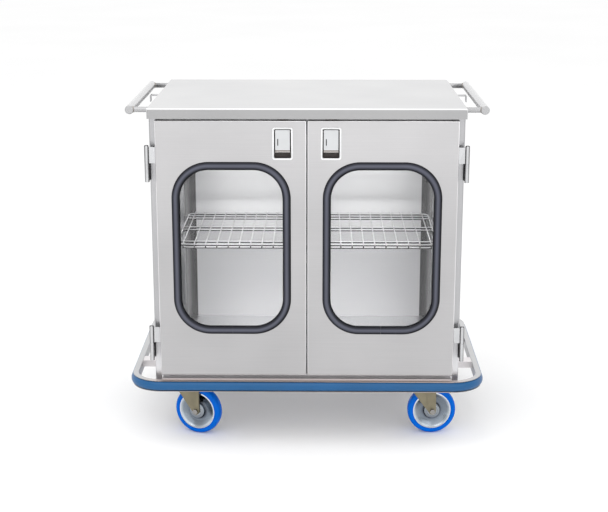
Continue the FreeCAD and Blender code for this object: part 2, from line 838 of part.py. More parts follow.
def caster_plate():
    """Mounting plate with its upper race and the kingpin that the fork turns on."""
    under = caster_height - plate_thickness
    plate = flat_slab(plate_length, plate_width, plate_corner, under, caster_height)
    race_low = Vector(0, 0, under - race_height)
    race = Part.makeCone(race_radius - race_taper, race_radius, race_height, race_low)
    stem_bottom = crown_bottom - kingpin_head_height
    stem = Part.makeCylinder(kingpin_radius, under - stem_bottom, Vector(0, 0, stem_bottom))
    head = Part.makeCylinder(kingpin_head_radius, kingpin_head_height - crown_gap, Vector(0, 0, stem_bottom))
    shape = fuse([plate, race, stem, head])
    for x in (-plate_bolt_x, plate_bolt_x):
        for y in (-plate_bolt_y, plate_bolt_y):
            start = Vector(x, y, under - overcut)
            end = Vector(x, y, caster_height + overcut)
            shape = shape.cut(rod(start, end, bolt_hole_radius))
    return shape


def fork_leg(back, y0, y1):
    """Leg plate: wide at the crown, round at the axle, its front edge upright."""
    top = crown_bottom + crown_thickness
    wheel_z = wheel_diameter / 2
    r = fork_foot_radius
    apex = Vector(-back - caster_trail, 0, top - wheel_z)
    touch = math.atan2(apex.z, apex.x) + math.acos(r / apex.Length)
    tangent = Vector(caster_trail + r * math.cos(touch), y0, wheel_z + r * math.sin(touch))
    corner_back = Vector(-back, y0, top)
    corner_front = Vector(caster_trail + r, y0, top)
    foot_front = Vector(caster_trail + r, y0, wheel_z)
    foot_low = Vector(caster_trail, y0, wheel_z - r)
    edges = [
        Part.LineSegment(corner_back, corner_front).toShape(),
        Part.LineSegment(corner_front, foot_front).toShape(),
        Part.Arc(foot_front, foot_low, tangent).toShape(),
        Part.LineSegment(tangent, corner_back).toShape(),
    ]
    return Part.Face(Part.Wire(edges)).extrude(Vector(0, y1 - y0, 0))


def caster_fork():
    """Pressed fork: crown, two legs with a raised front panel, and the lower race cup."""
    inner = wheel_width / 2 + fork_side_gap
    outer = inner + fork_plate
    proud = outer + fork_press
    top = crown_bottom + crown_thickness
    crown = block(-fork_back, caster_trail + fork_foot_radius, -outer, outer, crown_bottom, top)
    shape = fuse([crown, fork_leg(fork_back, -outer, -inner), fork_leg(fork_back, inner, outer)])
    top_edges = edges_at(shape, lambda b: b.XLength > fork_back and b.ZMin > top - tiny and b.YLength < tiny)
    shape = shape.makeFillet(fork_bend, top_edges)
    panels = fork_leg(0, -proud, -inner).fuse(fork_leg(0, inner, proud))
    bend_zone = block(-fork_back, 2 * fork_back, -2 * proud, 2 * proud, top - fork_bend, caster_height)
    panels = panels.cut(bend_zone)
    disc = Part.makeCylinder(crown_radius, crown_thickness, Vector(0, 0, crown_bottom))
    cup = Part.makeCone(race_radius, race_radius - cup_taper, cup_height, Vector(0, 0, top))
    shape = fuse([shape, panels, disc, cup])
    bore_low = Vector(0, 0, crown_bottom - overcut)
    bore = rod(bore_low, Vector(0, 0, caster_height), kingpin_radius + running_fit)
    axle = Vector(caster_trail, 0, wheel_diameter / 2)
    past = Vector(0, 2 * proud, 0)
    axle_hole = rod(axle.sub(past), axle.add(past), axle_radius + running_fit)
    return shape.cut(bore).cut(axle_hole)


def hexagon(flats, y0, y1):
    radius = flats / math.sqrt(3)
    points = [Vector(radius * math.cos(math.radians(60 * k)), 0, radius * math.sin(math.radians(60 * k)))
              for k in range(7)]
    return Part.Face(Part.makePolygon(points)).extrude(Vector(0, y1 - y0, 0)).translated(Vector(0, y0, 0))


def caster_axle():
    """Axle bolt through the fork's feet, with a hexagon head and nut."""
    face = wheel_width / 2 + fork_side_gap + fork_plate + fork_press
    shaft = Part.makeCylinder(axle_radius, 2 * face, Vector(0, -face, 0), Vector(0, 1, 0))
    head = hexagon(axle_head_flats, -face - axle_head_height, -face)
    nut = hexagon(axle_head_flats, face, face + axle_head_height)
    shape = fuse([shaft, head, nut])
    shape.translate(Vector(caster_trail, 0, wheel_diameter / 2))
    return shape


def wheel_revolve(points):
    """Turned body about the axle from (radius, width) corner points."""
    loop = [Vector(caster_trail + r, y, wheel_diameter / 2) for r, y in points]
    face = Part.Face(Part.makePolygon(loop + loop[:1]))
    return face.revolve(Vector(caster_trail, 0, wheel_diameter / 2), Vector(0, 1, 0), 360)


def wheel_core():
    """Dished wheel core with a rim lip and a hub boss."""
    rim = wheel_diameter / 2 - tyre_section
    half = wheel_width / 2 - core_rim_inset
    web = core_web / 2
    hub = wheel_width / 2 + fork_side_gap - slide_gap
    bore = axle_radius + running_fit
    lip = rim - core_lip
    boss = core_boss_radius
    side = [(bore, hub), (boss - core_boss_slope, hub), (boss, web), (lip - core_lip_slope, web),
            (lip, half), (rim, half)]
    return wheel_revolve(side + [(r, -y) for r, y in reversed(side)])


def wheel_tyre():
    """Tyre with rounded shoulders, moulded on the core."""
    outer = wheel_diameter / 2
    half = wheel_width / 2
    inner = outer - tyre_section
    ring = wheel_revolve([(inner, half), (outer, half), (outer, -half), (inner, -half)])
    tread = [edge for edge in ring.Edges
             if abs(edge.BoundBox.ZLength - wheel_diameter) < tiny and edge.BoundBox.YLength < tiny]
    return ring.makeFillet(tyre_shoulder, tread)


def plate_bolts():
    """Four hexagon bolts up into the bolster, shown from below."""
    under = caster_height - plate_thickness
    bolts = []
    for x in (-plate_bolt_x, plate_bolt_x):
        for y in (-plate_bolt_y, plate_bolt_y):
            head = hexagon(2 * plate_bolt_head, 0, plate_bolt_head_height)
            head.rotate(Vector(0, 0, 0), Vector(1, 0, 0), -90)
            head.translate(Vector(x, y, under))
            shank = Part.makeCylinder(plate_bolt_radius, plate_thickness, Vector(x, y, under))
            bolts.append(fuse([head, shank]))
    return bolts


def placed(shape, place, turn):
    shape = shape.copy()
    shape.rotate(Vector(0, 0, 0), Vector(0, 0, 1), turn)
    shape.translate(place)
    return shape


def caster_places():
    for name, turn in caster_turn_degrees.items():
        end, side = name.split("_")
        x = caster_x * sides[side]
        y = caster_y * (-1 if end == "front" else 1)
        yield name, Vector(x, y, 0), turn


def save_cabinet():
    save("top_panel", [top_panel()])
    save("header_rail", [front_channel(ceiling_z, top_under)])
    save("door_sill", [front_channel(floor_top, floor_top + sill_height)])
    save("ceiling_panel", [ceiling_panel()])
    save("back_panel", [back_panel()])
    save("back_liner", [back_liner()])
    save("floor_panel", [floor_panel()])
    save("side_liners", [side_liner(), mirror_x(side_liner())])
    uprights = [pilaster(y) for y in pilaster_y]
    save("pilasters", uprights + [mirror_x(post) for post in uprights])
    save("shelf_rails", [shelf_rail(), mirror_x(shelf_rail())])
    save("wire_shelf", [wire_shelf()])
    for side, sign in sides.items():
        save(side + "_side_panel", [on_side(side_panel(), sign)])
        save(side + "_push_handle", [on_side(push_handle(), sign)])
        save(side + "_door_stop", [on_side(door_stop(), sign)])


def save_base():
    save("base_frame", base_frame())
    save("bumper_channel", bumper_channel())
    save("bumper_strip", bumper_strip())
    save("bumper_brackets", bumper_brackets())


def save_doors():
    makers = {
        "door_shell": door_shell,
        "door_liner": door_liner,
        "window_glass": window_glass,
        "window_gasket": window_gasket,
        "latch_dish": latch_dish,
        "latch_pin": latch_pin,
        "latch_bolt": latch_bolt,
    }
    for side, sign in sides.items():
        for name, maker in makers.items():
            save(side + "_" + name, [on_side(maker(), sign)])
        save(side + "_door_hinges", [on_side(door_hinge(z), sign) for z in hinge_split_z])
    left_paddle = latch_paddle()
    save("left_latch_paddle", [left_paddle])
    save("right_latch_paddle", [left_paddle.translated(Vector(2 * latch_x, 0, 0))])
    save("latch_strikes", [latch_strike(), mirror_x(latch_strike())])
    hinges = [frame_hinge(z) for z in hinge_split_z]
    save("frame_hinges", hinges + [mirror_x(hinge) for hinge in hinges])


def save_casters():
    plates = []
    bolts = []
    for name, place, turn in caster_places():
        plates.append(placed(caster_plate(), place, 0))
        bolts += [placed(bolt, place, 0) for bolt in plate_bolts()]
        save(name + "_fork", [placed(caster_fork(), place, turn)])
        save(name + "_axle", [placed(caster_axle(), place, turn)])
        save(name + "_core", [placed(wheel_core(), place, turn)])
        save(name + "_tyre", [placed(wheel_tyre(), place, turn)])
    save("caster_plates", plates)
    save("caster_bolts", bolts)


os.makedirs("parts", exist_ok=True)
save_cabinet()
save_base()
save_doors()
save_casters()
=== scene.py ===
import bpy
import bmesh
import json
import math
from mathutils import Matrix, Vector

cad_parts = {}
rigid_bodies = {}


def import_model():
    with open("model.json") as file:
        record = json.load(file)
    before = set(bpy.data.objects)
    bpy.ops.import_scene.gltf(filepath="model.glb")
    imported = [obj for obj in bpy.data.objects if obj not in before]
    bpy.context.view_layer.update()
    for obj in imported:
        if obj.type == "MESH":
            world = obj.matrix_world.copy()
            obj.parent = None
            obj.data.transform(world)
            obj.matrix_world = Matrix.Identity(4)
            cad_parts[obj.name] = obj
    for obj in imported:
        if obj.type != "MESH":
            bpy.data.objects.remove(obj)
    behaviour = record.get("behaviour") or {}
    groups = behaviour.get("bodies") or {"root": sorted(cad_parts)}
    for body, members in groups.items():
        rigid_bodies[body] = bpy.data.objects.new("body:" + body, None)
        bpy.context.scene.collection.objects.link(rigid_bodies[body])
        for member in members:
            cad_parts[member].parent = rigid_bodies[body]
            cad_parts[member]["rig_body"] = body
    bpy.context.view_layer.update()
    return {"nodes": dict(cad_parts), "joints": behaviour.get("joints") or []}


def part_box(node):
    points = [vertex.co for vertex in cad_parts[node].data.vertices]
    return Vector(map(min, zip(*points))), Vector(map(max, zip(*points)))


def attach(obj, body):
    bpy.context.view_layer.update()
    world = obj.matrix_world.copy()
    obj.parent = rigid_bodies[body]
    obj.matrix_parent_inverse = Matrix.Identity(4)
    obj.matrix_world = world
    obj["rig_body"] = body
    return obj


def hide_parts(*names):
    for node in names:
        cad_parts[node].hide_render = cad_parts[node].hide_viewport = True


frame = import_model()
cart = frame["nodes"]
scene = bpy.context.scene
jointNamed = {joint["name"]: joint for joint in frame["joints"]}
casterNames = ["front_left", "front_right", "rear_left", "rear_right"]
sides = {"left": -1, "right": 1}
mm = 0.001
print("frame in:", len(cart), "nodes")


# material building blocks

def newMaterial(name):
    material = bpy.data.materials.new(name)
    material.use_nodes = True
    return material, material.node_tree, material.node_tree.nodes["Principled BSDF"]


def stretched(tree, scale):
    coord = tree.nodes.new("ShaderNodeTexCoord")
    mapping = tree.nodes.new("ShaderNodeMapping")
    mapping.inputs["Scale"].default_value = scale
    tree.links.new(coord.outputs["Object"], mapping.inputs["Vector"])
    return mapping.outputs["Vector"]


def noiseOf(tree, vector, scale, detail=3.0):
    noise = tree.nodes.new("ShaderNodeTexNoise")
    noise.inputs["Scale"].default_value = scale
    noise.inputs["Detail"].default_value = detail
    tree.links.new(vector, noise.inputs["Vector"])
    return noise.outputs["Fac"]


def rampOf(tree, value, low, high, start=0.3, end=0.7):
    ramp = tree.nodes.new("ShaderNodeValToRGB")
    ramp.color_ramp.elements[0].position = start
    ramp.color_ramp.elements[1].position = end
    ramp.color_ramp.elements[0].color = (*low, 1)
    ramp.color_ramp.elements[1].color = (*high, 1)
    tree.links.new(value, ramp.inputs["Fac"])
    return ramp.outputs["Color"]


def spanOf(tree, value, start, end, low=0.0, high=1.0):
    span = tree.nodes.new("ShaderNodeMapRange")
    span.inputs["From Min"].default_value = start
    span.inputs["From Max"].default_value = end
    span.inputs["To Min"].default_value = low
    span.inputs["To Max"].default_value = high
    tree.links.new(value, span.inputs["Value"])
    return span.outputs["Result"]


# one object coordinate, or its distance from the middle
def axisOf(tree, axis, fromMiddle=False, output="Object"):
    coord = tree.nodes.new("ShaderNodeTexCoord")
    split = tree.nodes.new("ShaderNodeSeparateXYZ")
    tree.links.new(coord.outputs[output], split.inputs["Vector"])
    if not fromMiddle:
        return split.outputs[axis]
    reach = tree.nodes.new("ShaderNodeMath")
    reach.operation = "ABSOLUTE"
    tree.links.new(split.outputs[axis], reach.inputs[0])
    return reach.outputs["Value"]


# how far the surface leans towards a direction
def leanOf(tree, direction):
    coord = tree.nodes.new("ShaderNodeTexCoord")
    lean = tree.nodes.new("ShaderNodeVectorMath")
    lean.operation = "DOT_PRODUCT"
    lean.inputs[1].default_value = direction
    tree.links.new(coord.outputs["Normal"], lean.inputs[0])
    return lean.outputs["Value"]


def stopsOf(tree, value, stops):
    ramp = tree.nodes.new("ShaderNodeValToRGB")
    ends = ramp.color_ramp.elements
    ends[0].position, ends[1].position = stops[0][0], stops[-1][0]
    ends[0].color, ends[1].color = (*stops[0][1], 1), (*stops[-1][1], 1)
    for place, colour in stops[1:-1]:
        ends.new(place).color = (*colour, 1)
    tree.links.new(value, ramp.inputs["Fac"])
    return ramp.outputs["Color"]


def blendOf(tree, factor, first, second, how="MIX"):
    mix = tree.nodes.new("ShaderNodeMix")
    mix.data_type = "RGBA"
    mix.blend_type = how
    if isinstance(factor, float):
        mix.inputs["Factor"].default_value = factor
    else:
        tree.links.new(factor, mix.inputs["Factor"])
    tree.links.new(first, mix.inputs["A"])
    tree.links.new(second, mix.inputs["B"])
    return mix.outputs["Result"]


def multiplied(tree, first, second):
    return blendOf(tree, 1.0, first, second, "MULTIPLY")


# roughness follows the grain, from its finest to its coarsest
def surfaceOf(tree, shader, tone, grain, rough, metallic=None):
    tree.links.new(tone, shader.inputs["Base Color"])
    tree.links.new(spanOf(tree, grain, 0.3, 0.7, *rough), shader.inputs["Roughness"])
    if metallic is not None:
        shader.inputs["Metallic"].default_value = metallic


def bumpOf(tree, shader, height, strength, distance):
    bump = tree.nodes.new("ShaderNodeBump")
    bump.inputs["Strength"].default_value = strength
    bump.inputs["Distance"].default_value = distance
    tree.links.new(height, bump.inputs["Height"])
    tree.links.new(bump.outputs["Normal"], shader.inputs["Normal"])


def shade(colour, factor):
    return tuple(min(1.0, channel * factor) for channel in colour)


# brushed stainless: fine grain drawn out along one axis, soft clouds of wear over it; where asked, painted light by
# height and by facing
def brushedSteel(name, colour, grain, rough, cloud=0.05, grainBump=0.05, paintedHeightShade=None, edges=None, metallic=1.0):
    material, tree, shader = newMaterial(name)
    fine = noiseOf(tree, stretched(tree, grain), 1.0, 4.0)
    clouds = noiseOf(tree, stretched(tree, (1, 1, 1)), 3.5, 2.0)
    tint = rampOf(tree, clouds, shade(colour, 1 - cloud), shade(colour, 1 + cloud))
    streak = rampOf(tree, fine, (0.93, 0.93, 0.935), (1.0, 1.0, 1.0))
    tone = multiplied(tree, tint, streak)
    # painted light: the sheet painted paler or darker with height
    if paintedHeightShade:  # paler or darker with height
        rise = spanOf(tree, axisOf(tree, "Z"), paintedHeightShade["from"], paintedHeightShade["to"])
        tone = multiplied(tree, tone, rampOf(tree, rise, (paintedHeightShade["low"],) * 3, (paintedHeightShade["high"],) * 3, 0, 1))
    # painted light: bends painted as bright highlights, flats and returns painted at their own darker levels
    if edges:  # by how far the sheet is bent away from the front
        facing = axisOf(tree, "Y", True, "Normal")
        tone = multiplied(tree, tone, stopsOf(tree, facing, [(at, (level,) * 3) for at, level in edges]))
    surfaceOf(tree, shader, tone, fine, rough, metallic)
    bumpOf(tree, shader, fine, grainBump, 0.0004)
    return material


# plated or polished metal with a faint unevenness
def polishedMetal(name, colour, rough, metallic=1.0, mottle=0.08):
    material, tree, shader = newMaterial(name)
    patch = noiseOf(tree, stretched(tree, (1, 1, 1)), 22.0, 2.0)
    tint = rampOf(tree, patch, shade(colour, 1 - mottle), shade(colour, 1 + mottle))
    surfaceOf(tree, shader, tint, patch, rough, metallic)
    return material


# moulded rubber or vinyl: fine grain and a slow change of tone
def mouldedRubber(name, colour, rough, gloss, grain=900.0, mottle=0.12, grainBump=0.12):
    material, tree, shader = newMaterial(name)
    place = stretched(tree, (1, 1, 1))
    slow = noiseOf(tree, place, 9.0, 2.0)
    fine = noiseOf(tree, place, grain, 2.0)
    tint = rampOf(tree, slow, shade(colour, 1 - mottle), shade(colour, 1 + mottle))
    surfaceOf(tree, shader, tint, slow, rough)
    shader.inputs["Specular IOR Level"].default_value = gloss
    bumpOf(tree, shader, fine, grainBump, 0.0003)
    return material


# gasket rubber: painted shade where it meets the door, a painted pale bluish highlight along the crest, deeper
# painted shade on the lower right flank
def gasketSkin(name, faceY, proud):
    material, tree, shader = newMaterial(name)
    depth = spanOf(tree, axisOf(tree, "Y"), faceY - proud, faceY)
    tone = stopsOf(tree, depth, [(0.0, (0.098, 0.102, 0.132)), (0.14, (0.032, 0.034, 0.045)),
                                 (0.5, (0.007, 0.007, 0.010))])
    slow = noiseOf(tree, stretched(tree, (1, 1, 1)), 9.0, 2.0)
    mottleAndShade = rampOf(tree, slow, (0.88, 0.88, 0.88), (1.0, 1.0, 1.0))
    turnedAway = spanOf(tree, leanOf(tree, (0.7, 0.0, -0.7)), -0.06, 0.40)
    mottleAndShade = multiplied(tree, mottleAndShade, rampOf(tree, turnedAway, (1.0,) * 3, (0.40,) * 3, 0, 1))
    surfaceOf(tree, shader, multiplied(tree, tone, mottleAndShade), slow, (0.36, 0.46))
    shader.inputs["Specular IOR Level"].default_value = 0.12
    fine = noiseOf(tree, stretched(tree, (1, 1, 1)), 900.0, 2.0)
    bumpOf(tree, shader, fine, 0.05, 0.0003)
    return material


# back liner: smooth sheet, with a painted dark reflection in the bend of each coved corner
def covedLiner(name, colour, startX, coveWidth):
    material, tree, shader = newMaterial(name)
    bend = spanOf(tree, axisOf(tree, "X", True), startX, startX + coveWidth)
    tone = stopsOf(tree, bend, [(0.0, (1, 1, 1)), (0.07, (0.09, 0.087, 0.087)), (0.5, (0.16, 0.156, 0.156)),
                                (1.0, (0.62, 0.615, 0.615))])
    clouds = noiseOf(tree, stretched(tree, (1, 1, 1)), 3.0, 2.0)
    tint = rampOf(tree, clouds, shade(colour, 0.97), shade(colour, 1.03))
    surfaceOf(tree, shader, multiplied(tree, tint, tone), clouds, (0.20, 0.27), 0.45)
    return material


# shelf plating: a painted highlight on top of each wire, painted shade round its flanks
def shelfPlating(name, bright, dark):
    material, tree, shader = newMaterial(name)
    upward = spanOf(tree, axisOf(tree, "Z", False, "Normal"), 0.0, 0.7)
    patch = noiseOf(tree, stretched(tree, (1, 1, 1)), 40.0, 2.0)
    cloudy = rampOf(tree, patch, (0.9, 0.9, 0.9), (1.0, 1.0, 1.0))
    tone = multiplied(tree, rampOf(tree, upward, dark, bright, 0, 1), cloudy)
    surfaceOf(tree, shader, tone, patch, (0.10, 0.18), 0.3)
    return material


# bumper channel: painted reflection, darker and browner along the front, paler down the sides
def channelSkin(name, front, flank, startX, endX):
    material, tree, shader = newMaterial(name)
    outward = spanOf(tree, axisOf(tree, "X", True), startX, endX)
    grain = noiseOf(tree, stretched(tree, (20, 20, 700)), 1.0, 4.0)
    streak = rampOf(tree, grain, (0.9, 0.9, 0.9), (1.0, 1.0, 1.0))
    tone = multiplied(tree, rampOf(tree, outward, front, flank, 0, 1), streak)
    surfaceOf(tree, shader, tone, grain, (0.28, 0.40), 1.0)
    return material


# polished hinge: painted highlight along the crest, a painted dark reflection band round each flank
def hingePolish(name, colour, flank):
    material, tree, shader = newMaterial(name)
    facing = axisOf(tree, "Y", True, "Normal")
    band = stopsOf(tree, facing, [(0.0, (0.55,) * 3), (0.25, shade(flank, 1.35)), (0.70, flank),
                                  (0.88, (0.95,) * 3), (1.0, (1.0,) * 3)])
    patch = noiseOf(tree, stretched(tree, (1, 1, 1)), 22.0, 2.0)
    tint = rampOf(tree, patch, shade(colour, 0.95), shade(colour, 1.05))
    surfaceOf(tree, shader, multiplied(tree, tint, band), patch, (0.14, 0.22), 1.0)
    return material


# cast paddle: smooth face, with a painted brown line of shade and a painted pale highlight where the pull lip turns
# under
def paddleSkin(name, colour, lowZ, lip):
    material, tree, shader = newMaterial(name)
    rise = spanOf(tree, axisOf(tree, "Z"), lowZ, lowZ + 2 * lip)
    pale, brown, face = (1.0, 0.95, 0.92), (0.15, 0.12, 0.10), (0.565, 0.575, 0.585)
    line = stopsOf(tree, rise, [(0.0, pale), (0.36, pale), (0.42, brown), (0.66, brown), (0.72, face), (1.0, face)])
    patch = noiseOf(tree, stretched(tree, (1, 1, 1)), 22.0, 2.0)
    tint = rampOf(tree, patch, shade(colour, 0.97), shade(colour, 1.03))
    surfaceOf(tree, shader, multiplied(tree, tint, line), patch, (0.30, 0.38), 0.4)
    return material


# die-cast core: painted shade in the groove round the boss and down the web, a painted highlight on the rim lip;
# "spread" runs from bore to rim
def coreSkin(name):
    material, tree, shader = newMaterial(name)
    spread = tree.nodes.new("ShaderNodeAttribute")
    spread.attribute_name = "spread"
    tone = stopsOf(tree, spread.outputs["Fac"], [(0.0, (0.34, 0.36, 0.38)), (0.34, (0.27, 0.30, 0.33)),
                                                 (0.40, (0.09, 0.10, 0.12)), (0.48, (0.17, 0.20, 0.24)),
                                                 (0.80, (0.26, 0.30, 0.345)), (0.90, (0.50, 0.55, 0.60)),
                                                 (1.0, (0.72, 0.76, 0.80))])
    patch = noiseOf(tree, stretched(tree, (1, 1, 1)), 22.0, 2.0)
    cloudy = rampOf(tree, patch, (0.92, 0.92, 0.92), (1.0, 1.0, 1.0))
    surfaceOf(tree, shader, multiplied(tree, tone, cloudy), patch, (0.18, 0.26), 1.0)
    return material


def clearGlass(name):
    material, tree, shader = newMaterial(name)
    haze = noiseOf(tree, stretched(tree, (1, 1, 1)), 4.0, 2.0)
    surfaceOf(tree, shader, rampOf(tree, haze, (0.50, 0.52, 0.53), (0.55, 0.57, 0.58)), haze, (0.02, 0.05))
    shader.inputs["Alpha"].default_value = 0.03
    return material


# latch pressing: pale face, dark inside the finger recess
def latchPressing(name, faceY):
    material, tree, shader = newMaterial(name)
    inside = spanOf(tree, axisOf(tree, "Y"), faceY + 0.5 * mm, faceY + 2.0 * mm)
    grain = noiseOf(tree, stretched(tree, (1, 1, 1)), 160.0)
    pale = rampOf(tree, grain, (0.74, 0.745, 0.75), (0.79, 0.795, 0.80))
    dark = rampOf(tree, grain, (0.022, 0.017, 0.015), (0.045, 0.036, 0.032))
    surfaceOf(tree, shader, blendOf(tree, inside, pale, dark), grain, (0.32, 0.42), 0.35)
    return material


finishes = {
    # doors: painted paler towards the top, painted highlights along the bends
    "doorSteel": brushedSteel("doorSteel", (0.905, 0.895, 0.905), (5, 700, 700), (0.30, 0.40), 0.05, 0.05,
                              {"from": 620 * mm, "to": 900 * mm, "low": 0.90, "high": 1.0},
                              [(0.0, 0.62), (0.25, 0.62), (0.4, 1.0), (0.95, 1.0), (0.99, 0.55), (1.0, 0.55)]),
    # top: fascia painted darker than the upward face, painted highlight along the front bend
    "topSteel": brushedSteel("topSteel", (0.95, 0.95, 0.96), (5, 700, 700), (0.30, 0.40), 0.05, 0.05,
                             {"from": 1024 * mm, "to": 1029.5 * mm, "low": 0.73, "high": 0.97},
                             [(0.0, 0.53), (0.12, 0.53), (0.3, 1.0), (0.85, 1.0), (0.97, 0.53), (1.0, 0.53)]),
    # sides and back: painted brighter towards the foot, standing in for reflected light
    "sideSteel": brushedSteel("sideSteel", (0.68, 0.68, 0.695), (700, 700, 5), (0.26, 0.36), 0.05, 0.05,
                              {"from": 235 * mm, "to": 330 * mm, "low": 1.0, "high": 0.62}),
    "innerSteel": brushedSteel("innerSteel", (0.64, 0.64, 0.65), (300, 300, 4), (0.28, 0.36), 0.03, 0.01),
    "floorSteel": brushedSteel("floorSteel", (0.86, 0.86, 0.87), (300, 300, 4), (0.28, 0.36), 0.03, 0.01),
    "frameSteel": brushedSteel("frameSteel", (0.70, 0.675, 0.68), (300, 300, 300), (0.35, 0.5)),
    "tubeSteel": brushedSteel("tubeSteel", (0.42, 0.42, 0.425), (900, 20, 900), (0.22, 0.32), metallic=0.6),
    "channelSteel": channelSkin("channelSteel", (0.46, 0.39, 0.365), (0.44, 0.443, 0.45), 430 * mm, 500 * mm),
    "hingeSteel": hingePolish("hingeSteel", (0.52, 0.525, 0.535), (0.12, 0.11, 0.115)),
    "frameHinge": hingePolish("frameHinge", (0.52, 0.525, 0.535), (0.34, 0.33, 0.335)),
    "shelfChrome": shelfPlating("shelfChrome", (0.90, 0.90, 0.91), (0.05, 0.048, 0.048)),
    "weldBead": polishedMetal("weldBead", (0.33, 0.29, 0.25), (0.35, 0.5), 0.9, 0.2),
    "paddleMetal": paddleSkin("paddleMetal", (0.94, 0.94, 0.94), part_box("left_latch_paddle")[0].z, 5 * mm),
    "zincPlate": polishedMetal("zincPlate", (0.235, 0.21, 0.145), (0.34, 0.48), 0.85, 0.15),
    "axleSteel": polishedMetal("axleSteel", (0.30, 0.29, 0.28), (0.22, 0.32)),
    # near-black as painted shade, so the bolts and strikes sink into the dark gap under the fascia
    "boltSteel": polishedMetal("boltSteel", (0.17, 0.155, 0.15), (0.35, 0.5)),
    "wheelCore": coreSkin("wheelCore"),
    "gasketRubber": gasketSkin("gasketRubber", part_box("left_door_shell")[0].y, 6.5 * mm),
    "coveSteel": covedLiner("coveSteel", (0.82, 0.82, 0.83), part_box("back_liner")[1].x - 38 * mm, 37 * mm),
    "bumperVinyl": mouldedRubber("bumperVinyl", (0.006, 0.084, 0.225), (0.30, 0.40), 0.35, 700.0, 0.08, 0.06),
    "tyreBlue": mouldedRubber("tyreBlue", (0.0, 0.122, 0.60), (0.20, 0.28), 0.06, 500.0, 0.08, 0.04),
    # dark strip in the door seam, standing in for shade
    "sealRubber": mouldedRubber("sealRubber", (0.085, 0.09, 0.095), (0.40, 0.50), 0.2),
    "windowGlass": clearGlass("windowGlass"),
    "latchPressing": latchPressing("latchPressing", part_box("left_door_shell")[0].y),
}
print("finishes made:", len(finishes))


# mesh helpers

def addObject(name, mesh, finish):
    piece = bpy.data.objects.new(name, mesh)
    scene.collection.objects.link(piece)
    mesh.materials.clear()
    mesh.materials.append(finishes[finish])
    return piece


def settle(piece, body, node=None):
    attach(piece, body)
    if node:
        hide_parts(node)
    return piece


def smoothMesh(mesh, degrees):
    for face in mesh.polygons:
        face.use_smooth = True
    mesh.set_sharp_from_angle(angle=math.radians(degrees))


# flats stay flat beside a rounded bend
def evenShading(piece):
    modifier = piece.modifiers.new("evenShading", "WEIGHTED_NORMAL")
    modifier.keep_sharp = True
    depsgraph = bpy.context.evaluated_depsgraph_get()
    mesh = bpy.data.meshes.new_from_object(piece.evaluated_get(depsgraph), preserve_all_data_layers=True,
                                           depsgraph=depsgraph)
    piece.modifiers.remove(modifier)
    piece.data = mesh


def weldedCopy(node):
    mesh = cart[node].data.copy()
    work = bmesh.new()
    work.from_mesh(mesh)
    bmesh.ops.remove_doubles(work, verts=work.verts, dist=1e-6)
    work.to_mesh(mesh)
    work.free()
    return mesh


# the CAD shape again, welded and shaded smooth across its bends
def dressCopy(node, finish, degrees=30.0):
    mesh = weldedCopy(node)
    smoothMesh(mesh, degrees)
    piece = addObject(node + "_skin", mesh, finish)
    evenShading(piece)
    return settle(piece, cart[node]["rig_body"], node)


def dressNode(node, finish):
    mesh = cart[node].data
    mesh.materials.clear()
    mesh.materials.append(finishes[finish])


def meshFrom(name, verts, faces, degrees=35.0):
    mesh = bpy.data.meshes.new(name)
    mesh.from_pydata([tuple(v) for v in verts], [], faces)
    work = bmesh.new()
    work.from_mesh(mesh)
    bmesh.ops.remove_doubles(work, verts=work.verts, dist=1e-6)
    bmesh.ops.recalc_face_normals(work, faces=work.faces)
    work.to_mesh(mesh)
    work.free()
    smoothMesh(mesh, degrees)
    return mesh


# turns a closed (radius, width) outline about an axle
def turned(name, outline, centre, axis, steps):
    axis = axis.normalized()
    across = axis.orthogonal().normalized()
    up = axis.cross(across)
    count = len(outline)
    verts = []
    faces = []
    for step in range(steps):
        angle = 2 * math.pi * step / steps
        spoke = across * math.cos(angle) + up * math.sin(angle)
        verts += [centre + spoke * radius + axis * width for radius, width in outline]
        here = step * count
        there = ((step + 1) % steps) * count
        for k in range(count):
            n = (k + 1) % count
            faces.append((here + k, here + n, there + n, there + k))
    return meshFrom(name, verts, faces)


def arcPoints(centre, radius, start, end, steps):
    points = []
    for step in range(steps + 1):
        angle = math.radians(start + (end - start) * step / steps)
        points.append((centre[0] + radius * math.cos(angle), centre[1] + radius * math.sin(angle)))
    return points


# bare CAD nodes that only need their finish

plainNodes = {
    "floorSteel": ["floor_panel"],
    "innerSteel": ["ceiling_panel", "side_liners", "door_sill", "header_rail", "pilasters",
                   "shelf_rails", "left_door_liner", "right_door_liner"],
    "sideSteel": ["back_panel"],
    "frameSteel": ["base_frame", "bumper_brackets"],
    "zincPlate": ["caster_plates", "caster_bolts"],
    "windowGlass": ["left_window_glass", "right_window_glass"],
    # latch pins, bolts and strikes take the near-black painted shade of the gap
    "boltSteel": ["left_latch_pin", "right_latch_pin", "left_latch_bolt", "right_latch_bolt", "latch_strikes"],
}
for finish, names in plainNodes.items():
    for name in names:
        dressNode(name, finish)

smoothNodes = {
    "topSteel": ["top_panel"],
    "doorSteel": ["left_door_shell", "right_door_shell"],
    "sideSteel": ["left_side_panel", "right_side_panel", "left_door_stop", "right_door_stop"],
    "coveSteel": ["back_liner"],
    "tubeSteel": ["left_push_handle", "right_push_handle"],
    "hingeSteel": ["left_door_hinges", "right_door_hinges"],
    "frameHinge": ["frame_hinges"],
    "channelSteel": ["bumper_channel"],
    "bumperVinyl": ["bumper_strip"],
    "latchPressing": ["left_latch_dish", "right_latch_dish"],
    "zincPlate": [name + "_fork" for name in casterNames],
    "axleSteel": [name + "_axle" for name in casterNames],
}
for finish, names in smoothNodes.items():
    for name in names:
        dressCopy(name, finish)
print("cabinet dressed")


# latch paddles, with a shadow gap down each side of the dish
paddleLook = {"sideGap": 2.2 * mm}


